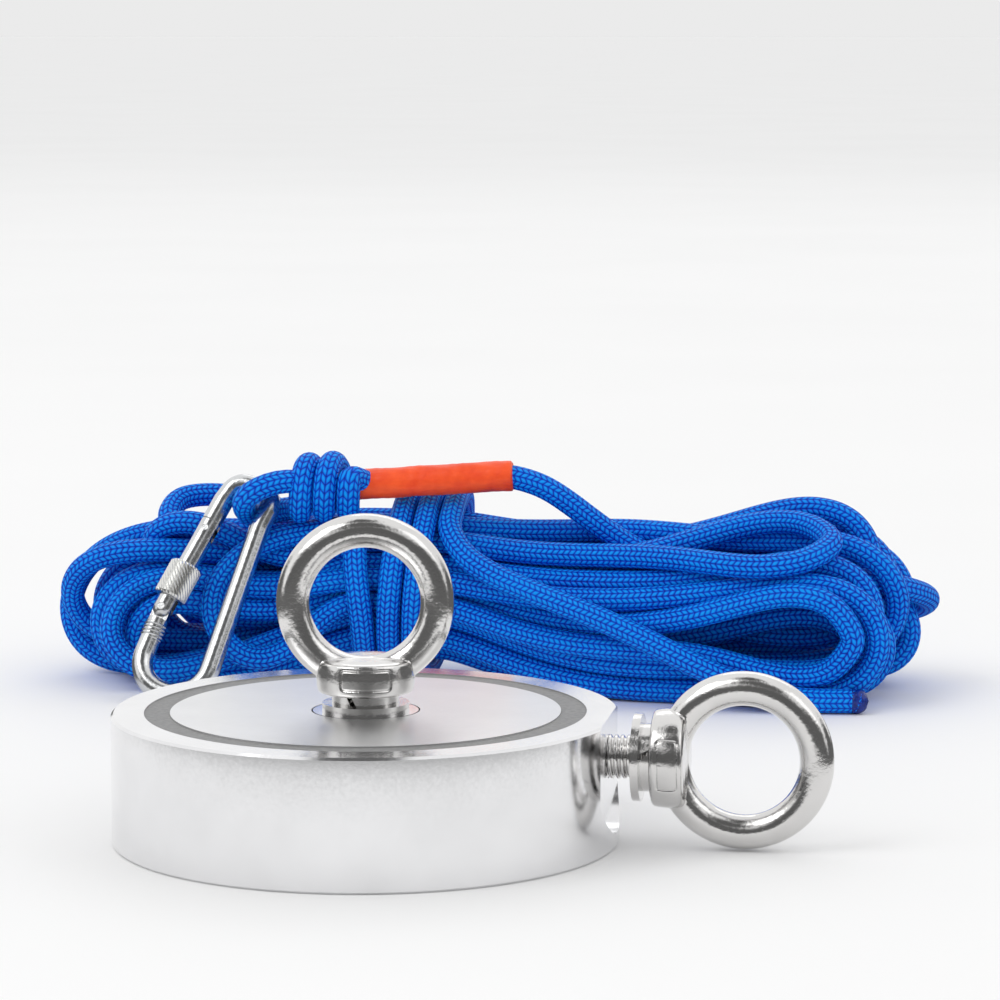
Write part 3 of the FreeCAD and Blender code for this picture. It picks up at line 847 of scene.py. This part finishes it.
def build_rope(material):
    """The one rope, from the eye round the carabiner to its sealed end, and the two pieces that sit on it."""
    dice = random.Random(7)
    route = Route()
    add_knot(route)
    add_hank(route, dice)
    add_waist(route)
    add_free_end(route)
    points = settle(np.array(route.points), np.array(route.fixed))
    line = spline_line(points)
    length = float(np.linalg.norm(np.diff(line, axis=0), axis=1).sum())
    print("rope length", round(length, 4), "points", len(points), "line", len(line))
    rope = tube("rope", line, ROPE_RADIUS * MM, material)
    tip = build_tip(line)
    sleeve = build_shrink()
    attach(rope, "rope_kit")
    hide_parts("rope_hank", "waist_wraps", "eye_knot", "rope_eye", "rope_tail")


# the sealed tip: how far it reaches back over the rope and out past its end, where it starts to round off and
# over what length, and its radius
TIP_REACH = (-3.0, 2.4)
TIP_STRAIGHT = 2.4
TIP_ROUND = 3.0
TIP_RADIUS = 4.08
# the shrink sleeve's ends along the knot's axis, the rope's radius under it and the sleeve's thickness
SHRINK_ENDS = (20.3, 73.3)
SHRINK_INNER = 4.25
SHRINK_WALL = 0.92


def build_tip(line):
    """The heat-sealed free end: a glossy skin over the last millimetres."""
    ahead = line[-1] - line[-3]
    ahead /= np.linalg.norm(ahead)
    core = np.array([line[-1] + ahead * place * MM for place in np.linspace(*TIP_REACH, 12)])

    def profile(far, angles):
        drop = np.clip((far / MM - TIP_STRAIGHT) / TIP_ROUND, 0.0, 1.0)
        round_end = np.sqrt(np.clip(1.0 - drop ** 2, 0.02, 1.0))
        ripple = 1.0 + 0.03 * np.sin(3 * angles[None, :] + 2.0 * far[:, None] / MM)
        return TIP_RADIUS * MM * round_end[:, None] * ripple

    tip = tube("rope_tip", core, ROPE_RADIUS * MM, TIP, around=32, cap=0.05, shape=profile)
    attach(tip, "rope_kit")
    return tip


def build_shrink():
    """The heat-shrink sleeve, drawn down on the rope, a little flattened and creased."""
    core = np.array([(KNOT_START + ALONG * place) * MM for place in np.linspace(*SHRINK_ENDS, 90)])
    length = SHRINK_ENDS[1] - SHRINK_ENDS[0]

    def profile(far, angles):
        along, turn = far[:, None] / MM, angles[None, :]
        flat = 0.20 * np.cos(2.0 * (turn - 0.5))
        waves = 0.07 * np.sin(3.0 * turn + 0.31 * along) + 0.06 * np.sin(5.0 * turn - 0.47 * along + 1.0)
        creases = 0.05 * np.sin(2.0 * turn + 1.7 * along) * np.sin(0.23 * along) ** 2
        edge = np.clip(np.minimum(along, length - along) / 0.6, 0.0, 1.0)
        return (SHRINK_INNER + (SHRINK_WALL + flat + waves + creases) * np.sqrt(edge)) * MM

    sleeve = tube("shrink_tube", core, SHRINK_INNER * MM, SHRINK, around=56, cap=0.0, shape=profile)
    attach(sleeve, "rope_kit")
    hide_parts("shrink_sleeve")
    return sleeve


# ---------------------------------------------------------------- screw sleeve

GATE_HINGE = Vector(CLIP_HINGE) * MM
GATE_ALONG = Vector(CLIP_ALONG)
# the sleeve's start along the gate, its length and its two radii
KNURL_START = 4.4
KNURL_LENGTH = 12.6
KNURL_RADIUS = 5.72
SLEEVE_BORE = 3.62
# the knurl's ridges, their depth, how far they wind round, how sharp they are, and their run-out at each end
KNURL_RIDGES = 24
KNURL_DEPTH = 0.55
KNURL_TURNS = 0.34
KNURL_POWER = 1.3
KNURL_RUNOUT = 0.5
# the bevel's depth and length
BEVEL = (0.75, 0.7)


def build_screw_sleeve(material):
    """The gate's locking sleeve, with its slanting knurl cut all round and a turned bevel at each end."""
    around, rows = KNURL_RIDGES * 10, 72
    vertices = []
    for row in range(rows + 1):
        height = KNURL_LENGTH * row / rows
        margin = min(height, KNURL_LENGTH - height)
        bevel = BEVEL[0] * (1.0 - min(1.0, margin / BEVEL[1]))
        runout = min(1.0, margin / KNURL_RUNOUT)
        for spoke in range(around):
            share = spoke / around
            turn = 2 * math.pi * share
            phase = (share + KNURL_TURNS * height / KNURL_LENGTH) * KNURL_RIDGES % 1.0
            cut = KNURL_DEPTH * abs(2.0 * phase - 1.0) ** KNURL_POWER * runout
            radius = KNURL_RADIUS - cut - bevel
            vertices.append((radius * math.cos(turn), radius * math.sin(turn), height))
    inner = len(vertices)
    for height in (0.0, KNURL_LENGTH):
        for spoke in range(around):
            turn = 2 * math.pi * spoke / around
            vertices.append((SLEEVE_BORE * math.cos(turn), SLEEVE_BORE * math.sin(turn), height))
    faces = ring_faces(rows + 1, around)
    top = rows * around
    low, high = inner, inner + around
    for spoke in range(around):
        after = (spoke + 1) % around
        faces.append((low + spoke, low + after, after, spoke))
        faces.append((top + spoke, top + after, high + after, high + spoke))
        faces.append((high + spoke, high + after, low + after, low + spoke))
    turned = GATE_ALONG.to_track_quat("Z", "Y").to_matrix()
    start = GATE_HINGE + GATE_ALONG * KNURL_START * MM
    placed = [start + turned @ (Vector(point) * MM) for point in vertices]
    sleeve = mesh_object("knurled_sleeve", placed, faces, material)
    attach(sleeve, "sleeve")
    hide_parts("screw_sleeve")


# the thread on the frame's end just below the hinge, where the wire leans out of the gate's line: its slope,
# the thread's ends along it, its pitch, its radii, its run-out and the sink of its two ends
FRAME_LEAN = 0.1165
FRAME_THREAD_ENDS = (-11.5, -5.2)
FRAME_THREAD_PITCH = 1.25
FRAME_THREAD_RADII = (3.4, 3.95)
FRAME_THREAD_RUNOUT = 0.6
FRAME_THREAD_SINK = 0.1


def build_frame_thread(material):
    """The few turns of thread that the sleeve leaves uncovered below the gate's hinge."""
    around, rows = 48, 60
    low_end, high_end = FRAME_THREAD_ENDS
    root, crest = FRAME_THREAD_RADII
    vertices = []
    for row in range(rows + 1):
        height = low_end + (high_end - low_end) * row / rows
        margin = min(height - low_end, high_end - height)
        sink = FRAME_THREAD_SINK if row in (0, rows) else 0.0
        for spoke in range(around):
            turn = 2 * math.pi * spoke / around
            phase = (height / FRAME_THREAD_PITCH - spoke / around) % 1.0
            tooth = max(0.0, 1.0 - 2.4 * abs(phase - 0.5)) * min(1.0, margin / FRAME_THREAD_RUNOUT)
            radius = root + (crest - root) * tooth - sink
            vertices.append((radius * math.cos(turn), radius * math.sin(turn), height))
    faces = ring_faces(rows + 1, around)
    faces.append(tuple(reversed(range(around))))
    faces.append(tuple(range(rows * around, (rows + 1) * around)))
    turned = Vector(CLIP_ALONG - FRAME_LEAN * CLIP_ACROSS).to_track_quat("Z", "Y").to_matrix()
    placed = [GATE_HINGE + turned @ (Vector(point) * MM) for point in vertices]
    thread = mesh_object("frame_thread", placed, faces, material)
    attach(thread, "clip")


# ---------------------------------------------------------------- stage, light and camera

# the floor's half side, its two tones, the distances from the pot over which a painted shade darkens it for
# reflections only, and the tones of that painted shade on the floor and of the room's dark corners there
FLOOR_SIZE = 60.0
FLOOR_TONES = (0.935, 0.95)
FLOOR_REFLECTED_SHADE_FADE = (0.225, 0.27)
FLOOR_REFLECTED_SHADE = 0.12
ROOM_DARK = 0.13


def build_floor():
    """A pale floor with a painted shade that only reflections see: polished metal sees it darken with
    distance, as in an unlit studio.
    """
    material, tree, shader = new_material("pale_floor")
    cloud = noise(tree, 3.0, 2.0)
    distance = tree.nodes.new("ShaderNodeVectorMath")
    distance.operation = "LENGTH"
    where = tree.nodes.new("ShaderNodeTexCoord")
    tree.links.new(where.outputs["Object"], distance.inputs[0])
    far = tree.nodes.new("ShaderNodeMapRange")
    far.interpolation_type = "SMOOTHSTEP"
    far.inputs["From Min"].default_value, far.inputs["From Max"].default_value = FLOOR_REFLECTED_SHADE_FADE
    tree.links.new(distance.outputs["Value"], far.inputs["Value"])
    path = tree.nodes.new("ShaderNodeLightPath")
    mix = tree.nodes.new("ShaderNodeMix")
    mix.data_type = "RGBA"
    # painted shade for reflections: only glossy rays see the floor darken with distance from the pot
    share = math_node(tree, "MULTIPLY", far.outputs["Result"], path.outputs["Is Glossy Ray"])
    pale = ramp(tree, cloud, [(0.3, grey(FLOOR_TONES[0])), (0.7, grey(FLOOR_TONES[1]))])
    tree.links.new(share, mix.inputs["Factor"])
    tree.links.new(pale, mix.inputs["A"])
    mix.inputs["B"].default_value = (*grey(FLOOR_REFLECTED_SHADE), 1.0)
    tree.links.new(mix.outputs["Result"], shader.inputs["Base Color"])
    shader.inputs["Roughness"].default_value = 0.8
    shader.inputs["Specular IOR Level"].default_value = 0.1
    signs = ((-1, -1), (1, -1), (1, 1), (-1, 1))
    corners = [(FLOOR_SIZE * x, FLOOR_SIZE * y, 0.0) for x, y in signs]
    floor = mesh_object("floor", corners, [(0, 1, 2, 3)], material)


def area_light(name, place, target, size, power):
    lamp = bpy.data.lights.new(name, "AREA")
    lamp.shape = "RECTANGLE"
    lamp.size, lamp.size_y = size
    lamp.energy = power
    holder = bpy.data.objects.new(name, lamp)
    holder.location = place
    holder.rotation_euler = (Vector(target) - Vector(place)).to_track_quat("-Z", "Y").to_euler()
    bpy.context.collection.objects.link(holder)


def facing_share(tree, direction, toward, outer, inner):
    """1 where the world direction lies within the inner angle of toward, 0 outside the outer angle."""
    dot = tree.nodes.new("ShaderNodeVectorMath")
    dot.operation = "DOT_PRODUCT"
    dot.inputs[1].default_value = Vector(toward).normalized()
    tree.links.new(direction, dot.inputs[0])
    share = tree.nodes.new("ShaderNodeMapRange")
    share.interpolation_type = "SMOOTHSTEP"
    share.inputs["From Min"].default_value = math.cos(math.radians(outer))
    share.inputs["From Max"].default_value = math.cos(math.radians(inner))
    tree.links.new(dot.outputs["Value"], share.inputs["Value"])
    return share.outputs["Result"]


# the studio's unlit corners, seen only in polished metal: direction, outer and inner angle
DARK_CORNERS = [
    ((0.19, -0.96, 0.08), 38.0, 24.0),
    ((-0.50, -0.86, 0.06), 34.0, 20.0),
    ((0.80, -0.60, 0.06), 34.0, 20.0),
    ((0.13, -0.65, 0.75), 24.0, 14.0),
    ((0.0, -0.2, 0.98), 15.0, 9.0),
    ((-0.96, 0.25, -0.10), 32.0, 18.0),
    ((0.90, 0.42, -0.10), 32.0, 18.0),
]


# the room's brightness as the floor and matt surfaces see it, and as the camera does
SOFT_LIGHT = 0.88
PALE_BACKGROUND = 0.83
# area lights: place, target, size and power in watts
LIGHTS = {
    "key": ((-2.0, -1.6, 3.0), (0.0, 0.1, 0.03), (2.0, 2.0), 24.0),
    "fill": ((3.0, -1.0, 2.4), (0.0, 0.1, 0.03), (1.6, 2.4), 6.0),
    "back": ((0.3, 3.4, 2.8), (0.0, 0.2, 0.03), (3.0, 1.4), 8.0),
}


def mix_shaders(tree, share, first, second):
    """The second shader where the share is 1, and the first where it is 0."""
    made = tree.nodes.new("ShaderNodeMixShader")
    tree.links.new(share, made.inputs["Fac"])
    tree.links.new(first, made.inputs[1])
    tree.links.new(second, made.inputs[2])
    return made.outputs[0]


def build_light():
    """A soft white room with dark corners that only reflections show, and three area lights."""
    world = bpy.data.worlds.new("studio")
    bpy.context.scene.world = world
    world.use_nodes = True
    tree = world.node_tree
    direction = tree.nodes.new("ShaderNodeTexCoord").outputs["Generated"]
    dark = None
    for toward, outer, inner in DARK_CORNERS:
        share = facing_share(tree, direction, toward, outer, inner)
        dark = share if dark is None else math_node(tree, "MAXIMUM", dark, share)
    white = (*grey(1.0), 1.0)
    room = tree.nodes["Background"]
    tree.links.new(ramp(tree, dark, [(0.0, grey(1.0)), (1.0, grey(ROOM_DARK))]), room.inputs["Color"])
    soft = node(tree, "ShaderNodeBackground", Color=white, Strength=SOFT_LIGHT)
    pale = node(tree, "ShaderNodeBackground", Color=white, Strength=PALE_BACKGROUND)
    path = tree.nodes.new("ShaderNodeLightPath")
    shiny = mix_shaders(tree, path.outputs["Is Glossy Ray"], soft.outputs[0], room.outputs[0])
    seen = mix_shaders(tree, path.outputs["Is Camera Ray"], shiny, pale.outputs[0])
    tree.links.new(seen, tree.nodes["World Output"].inputs["Surface"])
    for name, (place, target, size, power) in LIGHTS.items():
        area_light(name, place, target, size, power)
    bpy.context.scene.view_settings.view_transform = "Standard"


# the camera's angles in degrees, its distance from the pot in metres, and its focal length in pixels of a
# frame of FRAME_PIXELS a side on a sensor of SENSOR_WIDTH millimetres
CAMERA_AZIMUTH = 11.0
CAMERA_ELEVATION = 11.3
CAMERA_DISTANCE = 1.05
FOCAL_PIXELS = 3790.0
FRAME_PIXELS = 1000.0
SENSOR_WIDTH = 36.0
# where the pot's middle, half its height up, lands in the frame
POT_IN_FRAME = (364.5, 773.0)
POT_MIDDLE = 18.0


def build_camera():
    """A camera at the photograph's angle, turned until the pot lands where it is in the photograph."""
    azimuth, elevation = math.radians(CAMERA_AZIMUTH), math.radians(CAMERA_ELEVATION)
    back = Vector((
        math.sin(azimuth) * math.cos(elevation),
        -math.cos(azimuth) * math.cos(elevation),
        math.sin(elevation),
    ))
    pot = Vector((0.0, 0.0, POT_MIDDLE * MM))
    lens = bpy.data.cameras.new("camera")
    lens.sensor_width = SENSOR_WIDTH
    lens.lens = FOCAL_PIXELS / FRAME_PIXELS * SENSOR_WIDTH
    lens.clip_start, lens.clip_end = 0.05, 200.0
    camera = bpy.data.objects.new("camera", lens)
    camera.rotation_mode = "QUATERNION"
    camera.location = pot + back * CAMERA_DISTANCE
    facing = (-back).to_track_quat("-Z", "Y").to_matrix()
    right, up = facing.col[0], facing.col[1]
    aside = (FRAME_PIXELS / 2 - POT_IN_FRAME[0]) / FOCAL_PIXELS
    above = (POT_IN_FRAME[1] - FRAME_PIXELS / 2) / FOCAL_PIXELS
    aim = -back + right * aside + up * above
    camera.rotation_quaternion = aim.to_track_quat("-Z", "Y")
    bpy.context.collection.objects.link(camera)
    bpy.context.scene.camera = camera


# ---------------------------------------------------------------- the whole scene

def dress(material, *names):
    """Gives pieces of the CAD model their material."""
    for name in names:
        for holder in bpy.data.objects[name].material_slots:
            holder.material = material


PLATED = metal("plated_steel", (0.86, 0.86, 0.87), 0.10, stain=0.08)
MAGNET = metal("nickel_plate", (0.80, 0.80, 0.80), 0.30, stain=0.06)
POLISHED = metal("polished_steel", (0.78, 0.77, 0.76), 0.06, fine=700.0, bump=0.4, pits=1.0)
ZINC = metal("zinc_plate", (0.74, 0.75, 0.76), 0.12, fine=800.0, bump=0.3, wear=0.16, stain=0.22)
SPRING = metal("spring_steel", (0.58, 0.57, 0.55), 0.18, fine=1600.0, bump=0.04)
KNURLED = metal("knurled_steel", (0.82, 0.82, 0.80), 0.16, fine=1400.0, bump=0.008, wear=0.1)
ROPE = rope_material()
RESIN = resin_material()
SHRINK = shrink_material()
TIP = tip_material()

dress(PLATED, "steel_body", "centre_bush")
dress(MAGNET, "lower_magnet", "upper_magnet")
dress(RESIN, "lower_epoxy_ring", "upper_epoxy_ring")
dress(POLISHED, "top_split_washer", "side_split_washer", "top_flat_washer", "side_flat_washer")
dress(ZINC, "carabiner_body", "carabiner_gate", "gate_rivet", "latch_pin")
dress(SPRING, "gate_plunger", "gate_spring")

build_eyebolts(POLISHED)
build_screw_sleeve(KNURLED)
build_frame_thread(ZINC)
build_rope(ROPE)
build_floor()
build_light()
build_camera()
